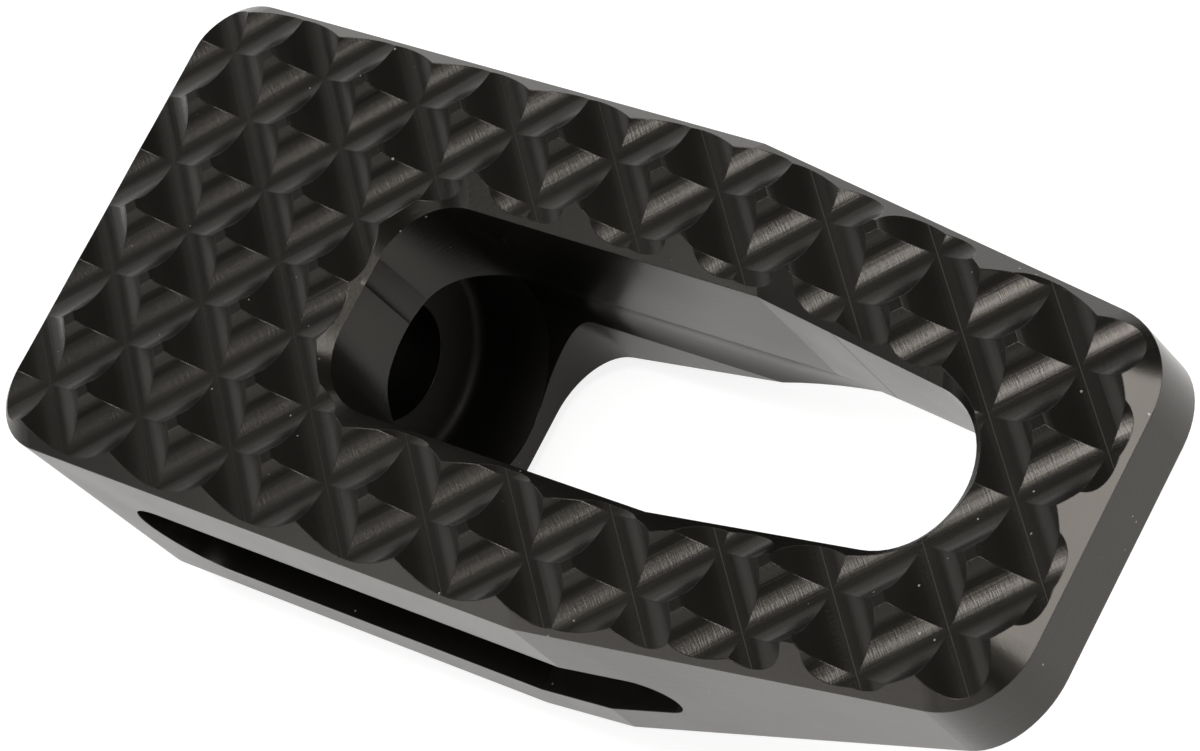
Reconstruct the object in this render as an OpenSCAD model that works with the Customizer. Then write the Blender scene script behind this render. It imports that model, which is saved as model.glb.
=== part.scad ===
// Brake pedal foot pad, machined from one billet of aluminium.
// Crossing ball-milled grooves make the grip, a long window lightens the pad
// and gives room for the bolt, which clamps the wide end to the pedal arm.
// The origin is on the bolt axis, in the mounting face. The toe end is at +X,
// and the grip is on top.

/* [Body] */
// Length from the mounting face to the toe end
pad_length = 108.5; // [100:0.5:125]
// Width at the mounting end
pad_width = 45; // [42:0.5:52]
// Height from the underside to the top of the grip
pad_height = 33.2; // [31:0.1:38]
// Thickness of the toe end
toe_height = 8.3; // [7:0.1:12]
// Distance from the mounting face at which the underside starts to rise
ramp_start = 30.3; // [27:0.1:40]
// Distance from the mounting face at which the sides start to converge
taper_start = 63.2; // [55:0.1:75]
// Angle of each side to the centreline, beyond the taper start
side_taper = 7.6; // [4:0.1:9]
// Radius of the upright corners at the mounting end
mount_corner_r = 6; // [4:0.1:9]
// Radius of the upright corners at the toe end
toe_corner_r = 7.4; // [5:0.1:9]
// Bevel round the top, outside and along the window
top_bevel = 2.5; // [2.2:0.1:3]
// Bevel along the lower long edges
belly_bevel = 6.5; // [4:0.1:8]

/* [Window] */
// Distance from the mounting face to the window
window_start = 31.7; // [29:0.1:38]
// Distance from the mounting face to the far end of the window
window_end = 96.4; // [88:0.1:98]
// Width of the window
window_width = 19.7; // [16:0.1:20.5]
// Radius of the window's upright corners at the mounting end
window_corner_r = 6.4; // [4:0.1:8]
// Distance from the mounting face at which the window narrows
window_taper_start = 69.8; // [60:0.1:78]

/* [Bolt] */
// Clearance hole for the M10 pedal bolt
bolt_hole_d = 11; // [8.4:0.1:13]
// Counterbore for the bolt head and washer, bored through the window
counterbore_d = 21; // [20.6:0.1:23]
// Height of the bolt axis above the underside
bolt_axis_h = 12.95; // [12.6:0.05:16]
// Depth of material under the bolt head
clamp_length = 23.1; // [15:0.1:27]
// Radius in the corner of the bolt seat
seat_fillet_r = 1; // [0.5:0.1:2]

/* [Side pockets] */
// Depth of each pocket in the side
pocket_depth = 6; // [2:0.1:7]
// Distance from the mounting face to the pocket
pocket_start = 10.2; // [8:0.1:20]
// Distance from the mounting face to the end of the pocket
pocket_end = 73.1; // [66:0.1:78]
// Height of the pocket's top edge above the underside
pocket_top = 22.95; // [20:0.05:25]
// Height of the pocket's lower edge above the underside
pocket_base = 11.17; // [9:0.01:13]
// Height of material left between the pocket and the rising underside
pocket_sill = 3.85; // [3:0.05:5]

/* [Grip] */
// Distance between neighbouring grooves
groove_pitch = 8; // [7:0.1:10]
// Radius of the ball cutter
groove_r = 4; // [3:0.1:5]
// Depth of the grooves
groove_depth = 2; // [1:0.1:2.1]
// Distance from the mounting face to the first crossing on the middle row
grip_offset_x = 10.7; // [0:0.05:11.3]
// Shift of the pattern across the pad
grip_offset_y = 0.35; // [-2:0.05:2]

/* [Hidden] */
$fn = 96;
anodised = [0.13, 0.12, 0.12];
over = 1;
// Degrees by which the bevel round a window corner laps the straight bevels beside it
bevel_lap = 4;
above_top = pad_height + over;
half_width = pad_width / 2;
ramp_rise = pad_height - toe_height;
ramp_slope = ramp_rise / (pad_length - ramp_start);
// Centre of the outline's corner arc at the toe, which touches side and end
toe_arc_x = pad_length - toe_corner_r;
toe_arc_y = half_width - (toe_arc_x - taper_start) * tan(side_taper) - toe_corner_r / cos(side_taper);
window_half = window_width / 2;
// The far end of the window is a circle that touches both converging walls
window_end_r = (window_half - (window_end - window_taper_start) * tan(side_taper)) * cos(side_taper)
    / (1 - sin(side_taper));
window_end_x = window_end - window_end_r;
pocket_r = (pocket_top - pocket_base) / 2;
// The far end of a pocket is a circle between its level top and its rising base
pocket_bend_x = ramp_start + (pocket_base - pocket_sill) / ramp_slope;
pocket_end_gap = pocket_top - pocket_base - ramp_slope * (pocket_end - pocket_bend_x);
pocket_end_r = pocket_end_gap / (sqrt(1 + ramp_slope * ramp_slope) + 1 - ramp_slope);
pocket_end_x = pocket_end - pocket_end_r;
ramp_angle = atan(ramp_slope);
groove_axis_z = pad_height - groove_depth + groove_r;
groove_len = 2 * (pad_length + pad_width);
crossing_step = groove_pitch * sqrt(2);
grip_reach = half_width + groove_pitch;
grip_rows = ceil((pad_length + grip_reach) / crossing_step);

// Places a child at each of the two mirrored sides
module both_sides() {
    children();
    mirror([0, 1, 0]) children();
}

module outline() {
    hx = half_width - mount_corner_r;
    polygon([
        [mount_corner_r, -half_width], [taper_start, -half_width],
        [toe_arc_x + toe_corner_r * sin(side_taper), -toe_arc_y - toe_corner_r * cos(side_taper)],
        [pad_length, -toe_arc_y], [pad_length, toe_arc_y],
        [toe_arc_x + toe_corner_r * sin(side_taper), toe_arc_y + toe_corner_r * cos(side_taper)],
        [taper_start, half_width], [mount_corner_r, half_width], [0, hx], [0, -hx]
    ]);
    for (s = [-1, 1]) {
        translate([mount_corner_r, s * hx]) circle(mount_corner_r);
        translate([toe_arc_x, s * toe_arc_y]) circle(toe_corner_r);
    }
}

// Side view of the block: flat mounting end, then a straight rise to the toe
module side_view() {
    polygon([
        [-over, 0], [ramp_start, 0], [pad_length, ramp_rise],
        [pad_length + over, ramp_rise + ramp_slope * over], [pad_length + over, above_top], [-over, above_top]
    ]);
}

module block() {
    intersection() {
        linear_extrude(pad_height) outline();
        translate([0, pad_width, 0]) rotate([90, 0, 0]) linear_extrude(2 * pad_width) side_view();
    }
}

module window_outline() {
    hx = window_half - window_corner_r;
    polygon([
        [window_start + window_corner_r, -window_half], [window_taper_start, -window_half],
        [window_end_x + window_end_r * sin(side_taper), -window_end_r * cos(side_taper)],
        [window_end_x + window_end_r * sin(side_taper), window_end_r * cos(side_taper)],
        [window_taper_start, window_half], [window_start + window_corner_r, window_half],
        [window_start, hx], [window_start, -hx]
    ]);
    for (s = [-1, 1]) translate([window_start + window_corner_r, s * hx]) circle(window_corner_r);
    translate([window_end_x, 0]) circle(window_end_r);
}

// Triangle cut off a top edge, with the edge at x = 0 and the waste towards +x
module bevel_profile(reach = over) {
    polygon([
        [-top_bevel - over, above_top], [reach, above_top - top_bevel - over - reach], [reach, above_top]
    ]);
}

// Bevel cut along a straight edge from p, in direction a, with the waste on its right
module bevel_run(p, a, len, reach = over) {
    translate([p[0], p[1], 0]) rotate([0, 0, a]) rotate([90, 0, 90])
        linear_extrude(len) mirror([1, 0, 0]) bevel_profile(reach);
}

// Bevel cut round an outer corner of radius r
module bevel_turn(p, r, a, sweep) {
    translate([p[0], p[1], 0]) rotate([0, 0, a]) rotate_extrude(angle = sweep) translate([r, 0]) bevel_profile();
}

// Bevel cut round a corner of the window, where the waste is inside the arc
module bevel_hollow(p, r, a, sweep) {
    translate([p[0], p[1], 0]) rotate([0, 0, a]) rotate_extrude(angle = sweep)
        intersection() {
            translate([r, 0]) mirror([1, 0, 0]) bevel_profile();
            square([2 * pad_height, 2 * pad_height]);
        }
}

module outer_bevels() {
    end_y = half_width - mount_corner_r;
    taper_len = (toe_arc_x + toe_corner_r * sin(side_taper) - taper_start) / cos(side_taper);
    bevel_run([0, half_width], -90, pad_width);
    mirror([1, 0, 0]) translate([-pad_length, 0, 0]) bevel_run([0, half_width], -90, pad_width);
    both_sides() {
        bevel_run([0, -half_width], 0, taper_start);
        bevel_run([taper_start, -half_width], side_taper, taper_len + toe_corner_r);
        bevel_turn([mount_corner_r, -end_y], mount_corner_r, 180, 90);
        bevel_turn([toe_arc_x, -toe_arc_y], toe_corner_r, 270 + side_taper, 90 - side_taper);
    }
}

module window_bevels() {
    end_y = window_half - window_corner_r;
    start_x = window_start + window_corner_r;
    straight_len = window_taper_start - start_x;
    taper_len = (window_end_x + window_end_r * sin(side_taper) - window_taper_start) / cos(side_taper);
    bevel_run([window_start, -end_y], 90, 2 * end_y);
    bevel_hollow([window_end_x, 0], window_end_r, side_taper - 90 - bevel_lap, 180 - 2 * side_taper + 2 * bevel_lap);
    both_sides() {
        bevel_hollow([start_x, -end_y], window_corner_r, 180 - bevel_lap, 90 + 2 * bevel_lap);
        // The straight and the converging wall meet in a mitre
        intersection() {
            bevel_run([window_end, -window_half], 180, window_end - start_x, window_half);
            translate([window_taper_start, -window_half, 0]) rotate([0, 0, side_taper])
                bevel_run([taper_len, 0], 180, taper_len + straight_len + window_half, window_half);
        }
    }
}

// Long bevels under the sides, which run out where the underside rises
module belly_bevels() {
    both_sides() translate([-over, 0, 0]) rotate([90, 0, 90]) linear_extrude(pad_length)
        polygon([
            [-half_width - over, -over], [-half_width - over, belly_bevel + over],
            [-half_width + belly_bevel + over, -over]
        ]);
}

module window() {
    translate([0, 0, -over]) linear_extrude(above_top + over) window_outline();
}

// Bolt hole from the mounting face, and the counterbore that enters from the toe end
module bolt_bore() {
    seat_r = counterbore_d / 2;
    translate([0, 0, bolt_axis_h]) rotate([0, 90, 0]) {
        translate([0, 0, -over]) cylinder(h = clamp_length + 2 * over, d = bolt_hole_d);
        translate([0, 0, clamp_length + seat_fillet_r]) cylinder(h = pad_length, r = seat_r);
        rotate_extrude() translate([0, clamp_length]) {
            square([seat_r - seat_fillet_r, seat_fillet_r]);
            translate([seat_r - seat_fillet_r, seat_fillet_r]) circle(seat_fillet_r);
        }
    }
}

module pocket_view() {
    mid_z = pocket_top - pocket_r;
    translate([pocket_start + pocket_r, mid_z]) circle(pocket_r);
    translate([pocket_end_x, pocket_top - pocket_end_r]) circle(pocket_end_r);
    polygon([
        [pocket_start + pocket_r, pocket_base], [pocket_bend_x, pocket_base],
        [pocket_end_x + pocket_end_r * sin(ramp_angle), pocket_top - pocket_end_r - pocket_end_r * cos(ramp_angle)],
        [pocket_end_x, pocket_top], [pocket_start + pocket_r, pocket_top]
    ]);
}

module side_pocket() {
    translate([0, -half_width + pocket_depth, 0]) rotate([90, 0, 0])
        linear_extrude(pocket_depth + over) pocket_view();
}

// Two families of straight grooves at 45 degrees, cut by a ball cutter
module grip_grooves() {
    for (row = [-grip_rows : grip_rows], a = [-45, 45]) {
        x = grip_offset_x + row * crossing_step;
        if (x > -grip_reach && x < pad_length + grip_reach)
            translate([x, grip_offset_y, groove_axis_z]) rotate([0, 0, a]) rotate([0, 90, 0])
                cylinder(h = groove_len, r = groove_r, center = true);
    }
}

// The pad as it is before the grip is cut
module plain_pad() {
    difference() {
        block();
        belly_bevels();
        window();
        bolt_bore();
        both_sides() side_pocket();
        outer_bevels();
        window_bevels();
    }
}

module pedal_pad() {
    color(anodised) translate([0, 0, -bolt_axis_h]) difference() {
        plain_pad();
        grip_grooves();
    }
}

pedal_pad();
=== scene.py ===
import math
import bpy
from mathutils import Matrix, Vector

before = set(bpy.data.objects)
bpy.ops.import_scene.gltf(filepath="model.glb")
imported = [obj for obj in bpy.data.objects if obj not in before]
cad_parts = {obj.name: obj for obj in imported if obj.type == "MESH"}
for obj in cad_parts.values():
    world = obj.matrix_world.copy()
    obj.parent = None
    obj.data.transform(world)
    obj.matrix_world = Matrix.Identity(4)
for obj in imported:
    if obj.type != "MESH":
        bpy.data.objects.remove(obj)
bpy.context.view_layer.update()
print("frame loaded:", ", ".join(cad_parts))

nodesPerColumn = 8              # layout of a material in the node editor
columnWidth = 200
rowHeight = 220


# Helpers for node trees
def addNode(tree, kind, **values):
    column, row = divmod(len(tree.nodes), nodesPerColumn)
    node = tree.nodes.new(kind)
    node.location = (column * columnWidth, -row * rowHeight)
    for name, value in values.items():
        setattr(node, name, value)
    return node


def feed(tree, socket, value):
    # A socket takes another node's output or a plain value
    if isinstance(value, bpy.types.NodeSocket):
        tree.links.new(value, socket)
    else:
        socket.default_value = value


def addMath(tree, operation, *values, clamp=False):
    node = addNode(tree, "ShaderNodeMath", operation=operation, use_clamp=clamp)
    for socket, value in zip(node.inputs, values):
        feed(tree, socket, value)
    return node.outputs[0]


def addProduct(tree, first, *others):
    for other in others:
        first = addMath(tree, "MULTIPLY", first, other)
    return first


def addSum(tree, first, *others):
    for other in others:
        first = addMath(tree, "ADD", first, other)
    return first


def addBetween(tree, value, low, high):
    # 1 where a value lies between two bounds
    return addProduct(tree, addMath(tree, "GREATER_THAN", value, low),
                      addMath(tree, "LESS_THAN", value, high))


def addRange(tree, value, fromLow, fromHigh, toLow, toHigh):
    node = addNode(tree, "ShaderNodeMapRange")
    node.inputs["From Min"].default_value = fromLow
    node.inputs["From Max"].default_value = fromHigh
    node.inputs["To Min"].default_value = toLow
    node.inputs["To Max"].default_value = toHigh
    tree.links.new(value, node.inputs["Value"])
    return node.outputs["Result"]


def addColourMix(tree, factor, first, second):
    node = addNode(tree, "ShaderNodeMix", data_type="RGBA")
    feed(tree, node.inputs["Factor"], factor)
    feed(tree, node.inputs[6], first)
    feed(tree, node.inputs[7], second)
    return node.outputs[2]


def addValueMix(tree, factor, first, second):
    node = addNode(tree, "ShaderNodeMix", data_type="FLOAT")
    feed(tree, node.inputs["Factor"], factor)
    feed(tree, node.inputs[2], first)
    feed(tree, node.inputs[3], second)
    return node.outputs[0]


def addDot(tree, vector, direction):
    node = addNode(tree, "ShaderNodeVectorMath", operation="DOT_PRODUCT")
    tree.links.new(vector, node.inputs[0])
    node.inputs[1].default_value = direction
    return node.outputs["Value"]


def addSplit(tree, vector):
    node = addNode(tree, "ShaderNodeSeparateXYZ")
    tree.links.new(vector, node.inputs[0])
    return node.outputs


def addNoise(tree, coords, scale, detail, roughness=0.5):
    node = addNode(tree, "ShaderNodeTexNoise")
    node.inputs["Scale"].default_value = scale
    node.inputs["Detail"].default_value = detail
    node.inputs["Roughness"].default_value = roughness
    tree.links.new(coords, node.inputs["Vector"])
    return node.outputs["Fac"]


def startTree(owner):
    owner.use_nodes = True
    owner.node_tree.nodes.clear()
    return owner.node_tree


# Pad, in metres: origin on the bolt axis in the mounting face, toe end at +X, grip on top
pad = {
    "top": 0.02025,             # height of the grip's flats
    "underside": -0.01295,
    "grooveReach": 0.0022,      # how far below the flats the grooves go
    "groovePitch": 0.008,
    "firstFalling": 0.007814,   # bottom of a groove that falls to the right, square to its run
    "mountWall": 0.0317,        # window wall at the mounting end
    "farWall": (0.006, 0.010),  # across, where the window's far wall lies
    "boreRadius": 0.0107,
    "holeRadius": 0.0056,       # the plain bolt hole in the bore's seat
    "edgeBreak": 0.00012,       # radius of the broken edges
}

# Black anodised aluminium
anodise = {
    "colour": (0.0050, 0.0048, 0.0040, 1),
    "paleColour": (0.0078, 0.0073, 0.0063, 1),
    "sheenTint": (1.0, 0.935, 0.865, 1),    # warm tone of what it mirrors
    "ior": 1.45,
    "plainRoughness": 0.22,
    "grooveRoughness": 0.26,
    "boreRoughness": 0.55,
    "roughnessSpread": 0.06,    # between cloudy and clear places
    "grainScale": 3200,
    "cloudScale": 90,
    "edgeSamples": 6,
}

# What the cutters left, with a painted highlight on the grooves' centre line; streak sizes are
# cells per metre along, across and upright
marks = {
    "depth": 0.00002,           # height of a mark of strength 1
    "grain": 0.25,              # strengths
    "grooveStreaks": 1.0,
    "grooveHatch": 0.55,
    "wallStreaks": 0.5,
    "step": 3.0,
    "faint": 0.06,
    "lineRoughness": 0.25,      # added on the far wall's line
    "streakCells": (45, 2600, 2600),
    "hatchCells": (6500, 700, 700),
    "wallCells": (35, 35, 3800),
    "stepPlace": 0.00075,       # across, where the cutter stopped on the mount wall
    "stepWidth": 0.0019,
    "stepFade": 7,              # power by which the step runs out
    "faintPlace": (0.0024, 0.0026),     # across, a shallow line beside the step
    "linePlace": 0.0780,        # along, where it stopped on the far wall
    "lineWidth": 0.00012,
    "centreHalfWidth": 0.00007,     # of the line that a ball cutter's middle leaves, which is also painted lighter as a highlight
    # colour of the centre line, lighter than the anodising: partly the cutter's mark, partly a
    # painted highlight
    "centreLineAndHighlightColour": (0.040, 0.038, 0.035, 1),
    "centreDepth": (0.0012, 0.0021),    # below the flats, where that line shows
    "centreFaint": (0.03, 0.25),    # place along the pad and its strength there; the painted highlight fades away from the toe
    "centreClear": (0.08, 1.0),
}

# Dust that has settled on the pad
dust = {
    "colour": (0.22, 0.21, 0.20, 1),
    "cellsPerMetre": 600,
    "size": 0.07,               # of the largest, as a share of a cell
    "share": 0.55,              # of the cells that hold a speck
}

diagonal = math.sqrt(0.5)       # both parts of a level direction at 45 degrees
acrossRising = (diagonal, diagonal, 0)      # square to the falling grooves' run
acrossFalling = (diagonal, -diagonal, 0)


def readSurface(tree):
    # Where a point lies on the pad and what kind of surface it is on
    coords = addNode(tree, "ShaderNodeTexCoord").outputs["Object"]
    normal = addNode(tree, "ShaderNodeNewGeometry").outputs["True Normal"]
    place = addSplit(tree, coords)
    up = addSplit(tree, normal)["Z"]
    # The normal is square to the axis of the groove that the point is in
    falling = addMath(tree, "ABSOLUTE", addDot(tree, normal, acrossRising))
    rising = addMath(tree, "ABSOLUTE", addDot(tree, normal, acrossFalling))
    square = addMath(tree, "LESS_THAN", addMath(tree, "MINIMUM", falling, rising), 0.04)
    high = addMath(tree, "GREATER_THAN", place["Z"], pad["top"] - pad["grooveReach"])
    return {
        "coords": coords, "x": place["X"], "y": place["Y"], "z": place["Z"], "up": up,
        "rises": addMath(tree, "LESS_THAN", falling, rising),
        "inGroove": addProduct(tree, square, high, addBetween(tree, up, 0.4, 0.9995)),
        "upright": addMath(tree, "LESS_THAN", addMath(tree, "ABSOLUTE", up), 0.2),
    }


def addStreaks(tree, coords, turn, cells, detail=3.0):
    # Noise stretched along one direction
    mapping = addNode(tree, "ShaderNodeMapping", vector_type="TEXTURE")
    mapping.inputs["Rotation"].default_value = (0, 0, math.radians(turn))
    mapping.inputs["Scale"].default_value = [1 / c for c in cells]
    tree.links.new(coords, mapping.inputs["Vector"])
    return addNoise(tree, mapping.outputs["Vector"], 1.0, detail, 0.6)


def addGrooveMarks(tree, surface):
    # Streaks along a groove and a fine hatch across it
    found = []
    for cells, detail, strength in ((marks["streakCells"], 3.0, marks["grooveStreaks"]),
                                    (marks["hatchCells"], 1.0, marks["grooveHatch"])):
        falling = addStreaks(tree, surface["coords"], -45, cells, detail)
        rising = addStreaks(tree, surface["coords"], 45, cells, detail)
        either = addValueMix(tree, surface["rises"], falling, rising)
        found.append(addProduct(tree, either, strength))
    return addProduct(tree, addSum(tree, *found), surface["inGroove"])


def addWallMarks(tree, surface):
    # Level streaks from the end mill on upright walls
    level = addStreaks(tree, surface["coords"], 0, marks["wallCells"])
    return addProduct(tree, level, surface["upright"], marks["wallStreaks"])


def addStep(tree, surface):
    # Where the end mill stopped on the window's mount wall
    start = marks["stepPlace"]
    onWall = addBetween(tree, surface["x"], pad["mountWall"] - 0.0003, pad["mountWall"] + 0.0003)
    slope = addRange(tree, surface["y"], start, start + marks["stepWidth"], 1.0, 0.0)
    slope = addMath(tree, "POWER", slope, marks["stepFade"])
    slope = addProduct(tree, slope, addMath(tree, "GREATER_THAN", surface["y"], start))
    faint = addProduct(tree, addBetween(tree, surface["y"], *marks["faintPlace"]), marks["faint"])
    return addProduct(tree, addSum(tree, slope, faint), onWall)


def addWallLine(tree, surface):
    # And on its far wall
    start = marks["linePlace"]
    onWall = addProduct(tree, addBetween(tree, surface["y"], *pad["farWall"]), surface["upright"])
    return addProduct(tree, addBetween(tree, surface["x"], start, start + marks["lineWidth"]),
                      onWall)


def addCentreLineAndHighlight(tree, surface):
    # The line along the bottom of a falling groove, clearer near the toe: partly the ball
    # cutter's real mark, partly a painted highlight where the groove bottoms catch the light
    shallow, deep = marks["centreDepth"]
    shift = addMath(tree, "SUBTRACT", addDot(tree, surface["coords"], acrossRising),
                    pad["firstFalling"])
    away = addMath(tree, "PINGPONG", shift, pad["groovePitch"] / 2)
    (faintX, faintShare), (clearX, clearShare) = marks["centreFaint"], marks["centreClear"]
    return addProduct(
        tree,
        addRange(tree, away, 0, marks["centreHalfWidth"], 1, 0),
        addMath(tree, "GREATER_THAN", surface["up"], 0.9),
        addBetween(tree, surface["z"], pad["top"] - deep, pad["top"] - shallow),
        addRange(tree, surface["x"], faintX, clearX, faintShare, clearShare))


def addSpecks(tree, surface):
    # A speck of dust in some cells of a loose grid
    cells = addNode(tree, "ShaderNodeTexVoronoi")
    cells.inputs["Scale"].default_value = dust["cellsPerMetre"]
    tree.links.new(surface["coords"], cells.inputs["Vector"])
    tone = addNode(tree, "ShaderNodeSeparateColor")
    tree.links.new(cells.outputs["Color"], tone.inputs[0])
    size = addProduct(tree, tone.outputs[1], dust["size"])
    return addProduct(tree, addMath(tree, "LESS_THAN", cells.outputs["Distance"], size),
                      addMath(tree, "LESS_THAN", tone.outputs[0], dust["share"]))


def addInBore(tree, surface):
    # The counterbore and its seat, without the bolt hole
    squares = [addMath(tree, "POWER", surface[axis], 2.0) for axis in ("y", "z")]
    fromAxis = addMath(tree, "SQRT", addSum(tree, *squares))
    return addProduct(tree, addBetween(tree, fromAxis, pad["holeRadius"], pad["boreRadius"]),
                      addBetween(tree, surface["x"], 0.0002, pad["mountWall"] - 0.0001))


def makeAnodised():
    mat = bpy.data.materials.new("blackAnodised")
    tree = startTree(mat)
    out = addNode(tree, "ShaderNodeOutputMaterial")
    shader = addNode(tree, "ShaderNodeBsdfPrincipled")
    tree.links.new(shader.outputs["BSDF"], out.inputs["Surface"])
    surface = readSurface(tree)
    grain = addNoise(tree, surface["coords"], anodise["grainScale"], 2)
    cloud = addNoise(tree, surface["coords"], anodise["cloudScale"], 3)
    line = addWallLine(tree, surface)

    colour = addColourMix(tree, cloud, anodise["colour"], anodise["paleColour"])
    # painted highlight: the falling grooves' centre line is made lighter, over the cutter's real
    # mark
    colour = addColourMix(tree, addCentreLineAndHighlight(tree, surface), colour, marks["centreLineAndHighlightColour"])
    colour = addColourMix(tree, addSpecks(tree, surface), colour, dust["colour"])
    tree.links.new(colour, shader.inputs["Base Color"])

    half = anodise["roughnessSpread"] / 2
    rough = addRange(tree, surface["inGroove"], 0, 1,
                     anodise["plainRoughness"], anodise["grooveRoughness"])
    rough = addValueMix(tree, addInBore(tree, surface), rough, anodise["boreRoughness"])
    rough = addSum(tree, rough, addRange(tree, cloud, 0.3, 0.7, -half, half),
                   addProduct(tree, line, marks["lineRoughness"]))
    tree.links.new(rough, shader.inputs["Roughness"])
    shader.inputs["IOR"].default_value = anodise["ior"]
    shader.inputs["Specular Tint"].default_value = anodise["sheenTint"]

    height = addSum(tree, addProduct(tree, grain, marks["grain"]),
                    addGrooveMarks(tree, surface), addWallMarks(tree, surface),
                    addProduct(tree, addStep(tree, surface), marks["step"]))
    height = addMath(tree, "SUBTRACT", height, line)
    bump = addNode(tree, "ShaderNodeBump")
    bump.inputs["Strength"].default_value = 1.0
    bump.inputs["Distance"].default_value = marks["depth"]
    tree.links.new(height, bump.inputs["Height"])
    bevel = addNode(tree, "ShaderNodeBevel", samples=anodise["edgeSamples"])
    bevel.inputs["Radius"].default_value = pad["edgeBreak"]
    tree.links.new(bevel.outputs["Normal"], bump.inputs["Normal"])
    tree.links.new(bump.outputs["Normal"], shader.inputs["Normal"])
    return mat


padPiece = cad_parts["pedal_pad"]
padPiece.data.materials.clear()
padPiece.data.materials.append(makeAnodised())
print("material made")

# Floor: its glow is the share of its white that it gives of itself
floorLook = {
    "size": 6,
    "gap": 0.0005,              # below the pad
    "colour": (0.80, 0.80, 0.80, 1),
    "cameraGlow": 0.85,
    "cameraColour": (0.30, 0.30, 0.30, 1),
    "metalGlow": 0.10,          # as the metal mirrors it, with a deeper shadow
    "metalColour": (0.95, 0.95, 0.95, 1),
}


def makeFloor():
    bpy.ops.object.select_all(action="DESELECT")
    bpy.ops.mesh.primitive_plane_add(size=floorLook["size"],
                                     location=(0, 0, pad["underside"] - floorLook["gap"]))
    floor = bpy.context.active_object
    floor.name = "studioFloor"
    bpy.ops.object.transform_apply(location=True, rotation=True, scale=True)
    mat = bpy.data.materials.new("studioWhite")
    tree = startTree(mat)
    out = addNode(tree, "ShaderNodeOutputMaterial")
    paths = addNode(tree, "ShaderNodeLightPath").outputs
    plain = addNode(tree, "ShaderNodeBsdfDiffuse")
    plain.inputs["Color"].default_value = floorLook["colour"]

    # Seen by the camera or in the metal it is white, and keeps the pad's shadow
    mirrored = paths["Is Glossy Ray"]
    white = addNode(tree, "ShaderNodeEmission")
    glow = addRange(tree, mirrored, 0, 1, floorLook["cameraGlow"], floorLook["metalGlow"])
    tree.links.new(glow, white.inputs["Strength"])
    shaded = addNode(tree, "ShaderNodeBsdfDiffuse")
    tone = addColourMix(tree, mirrored, floorLook["cameraColour"], floorLook["metalColour"])
    tree.links.new(tone, shaded.inputs["Color"])
    both = addNode(tree, "ShaderNodeAddShader")
    tree.links.new(white.outputs["Emission"], both.inputs[0])
    tree.links.new(shaded.outputs["BSDF"], both.inputs[1])

    # The light that falls on the pad comes from the plain floor
    seen = addSum(tree, paths["Is Camera Ray"], paths["Is Transmission Ray"])
    seen = addMath(tree, "ADD", seen, mirrored, clamp=True)
    mix = addNode(tree, "ShaderNodeMixShader")
    tree.links.new(seen, mix.inputs["Fac"])
    tree.links.new(plain.outputs["BSDF"], mix.inputs[1])
    tree.links.new(both.outputs["Shader"], mix.inputs[2])
    tree.links.new(mix.outputs["Shader"], out.inputs["Surface"])
    floor.data.materials.append(mat)


# Softboxes around the pad: turn from the toe end towards the far side and height above the
# horizon in degrees, width and height in metres, and brightness of the face
lamps = {
    "colour": (1.0, 0.985, 0.965),
    "middle": (0.054, 0, 0.01),
    "distance": 1.0,
    "boxes": {
        "softboxToe": (24, 30, 0.890, 0.353, 6.0),
        "softboxToeLow": (40, 12, 0.536, 0.317, 2.5),
        "softboxOverMount": (180, 83, 0.263, 0.353, 8.8),
        "softboxOverNear": (-60, 83, 0.263, 0.353, 6.8),
        "softboxNearLow": (-96, 9, 1.453, 0.353, 1.55),
        "softboxNear": (-72, 30, 0.890, 0.353, 0.80),
        "softboxMount": (-156, 30, 0.728, 0.353, 0.68),
        "softboxMountLow": (-165, 10, 0.890, 0.353, 0.48),
        "softboxMountHigh": (-135, 66, 0.828, 0.389, 0.36),
        "softboxFarLow": (132, 10, 1.155, 0.353, 0.85),
        "softboxFar": (156, 30, 0.425, 0.353, 0.70),
        "softboxFarHigh": (163, 50, 0.425, 0.353, 0.16),
        "softboxRight": (-12, 30, 0.425, 0.353, 0.42),
    },
}


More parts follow.
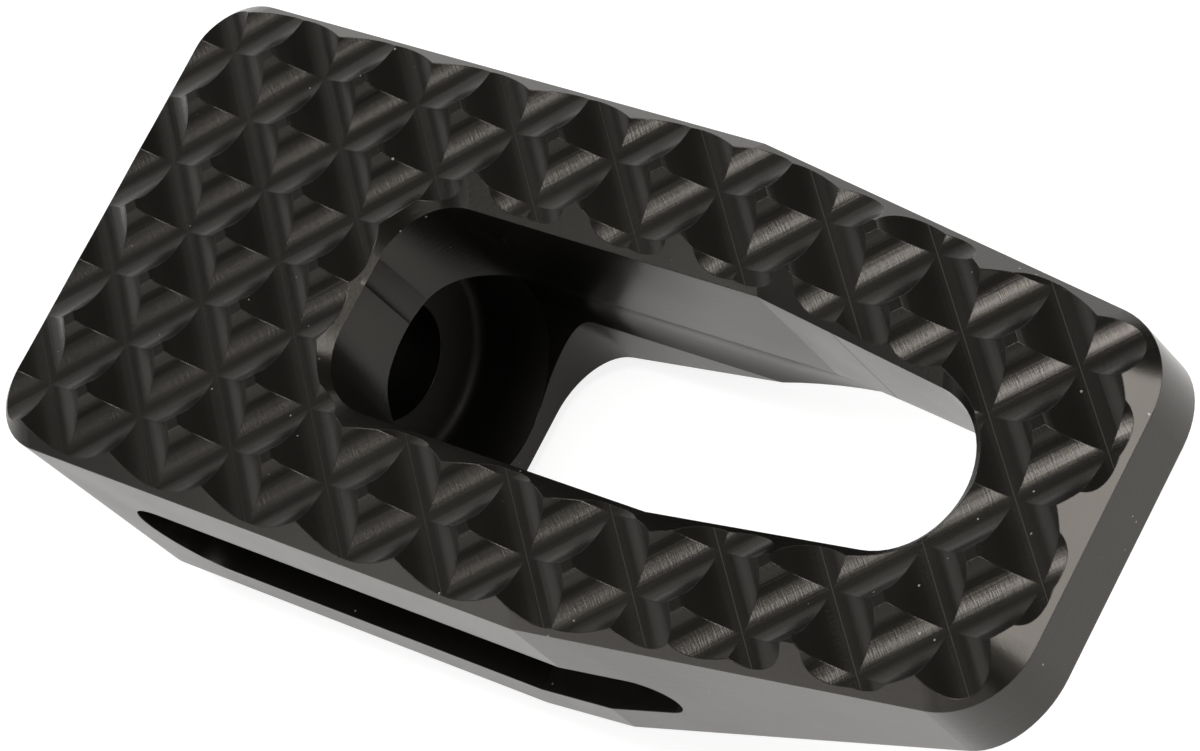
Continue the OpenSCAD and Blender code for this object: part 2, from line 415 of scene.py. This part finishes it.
def makeSoftbox(name, turn, lift, width, height, brightness):
    data = bpy.data.lights.new(name, "AREA")
    data.shape = "RECTANGLE"
    data.size = width
    data.size_y = height
    data.energy = 4 * width * height * brightness
    data.color = lamps["colour"]
    lamp = bpy.data.objects.new(name, data)
    bpy.context.scene.collection.objects.link(lamp)
    a, e = math.radians(turn), math.radians(lift)
    out = Vector((math.cos(a) * math.cos(e), math.sin(a) * math.cos(e), math.sin(e)))
    lamp.location = Vector(lamps["middle"]) + lamps["distance"] * out
    lamp.rotation_euler = (-out).to_track_quat("-Z", "Y").to_euler()


# World: white behind the pad, and dark in what the metal mirrors above the floor
worldLook = {"cameraStrength": 1.0, "otherStrength": 0.02}


def makeWorld():
    world = bpy.data.worlds.new("studioWorld")
    tree = startTree(world)
    out = addNode(tree, "ShaderNodeOutputWorld")
    paths = addNode(tree, "ShaderNodeLightPath").outputs
    mix = addNode(tree, "ShaderNodeMixShader")
    tree.links.new(paths["Is Camera Ray"], mix.inputs["Fac"])
    for slot, strength in ((1, "otherStrength"), (2, "cameraStrength")):
        sky = addNode(tree, "ShaderNodeBackground")
        sky.inputs["Color"].default_value = (1, 1, 1, 1)
        sky.inputs["Strength"].default_value = worldLook[strength]
        tree.links.new(sky.outputs["Background"], mix.inputs[slot])
    tree.links.new(mix.outputs["Shader"], out.inputs["Surface"])
    bpy.context.scene.world = world


makeFloor()
for name, values in lamps["boxes"].items():
    makeSoftbox(name, *values)
makeWorld()
print("studio made")

# Camera, in metres, degrees and millimetres
camera = {
    "place": (0.3018, -0.08045, 0.30965),
    "turn": (30.2038, 29.4613, 31.5399),
    "lens": 144,
    "sensor": 36,
    "nearest": 0.01,
    "farthest": 20,
}

cameraData = bpy.data.cameras.new("camera")
cameraData.lens = camera["lens"]
cameraData.sensor_width = camera["sensor"]
cameraData.clip_start = camera["nearest"]
cameraData.clip_end = camera["farthest"]
cameraPiece = bpy.data.objects.new("camera", cameraData)
cameraPiece.location = camera["place"]
cameraPiece.rotation_euler = [math.radians(t) for t in camera["turn"]]
bpy.context.scene.collection.objects.link(cameraPiece)
bpy.context.scene.camera = cameraPiece
bpy.context.scene.view_settings.view_transform = "Standard"
print("camera made")
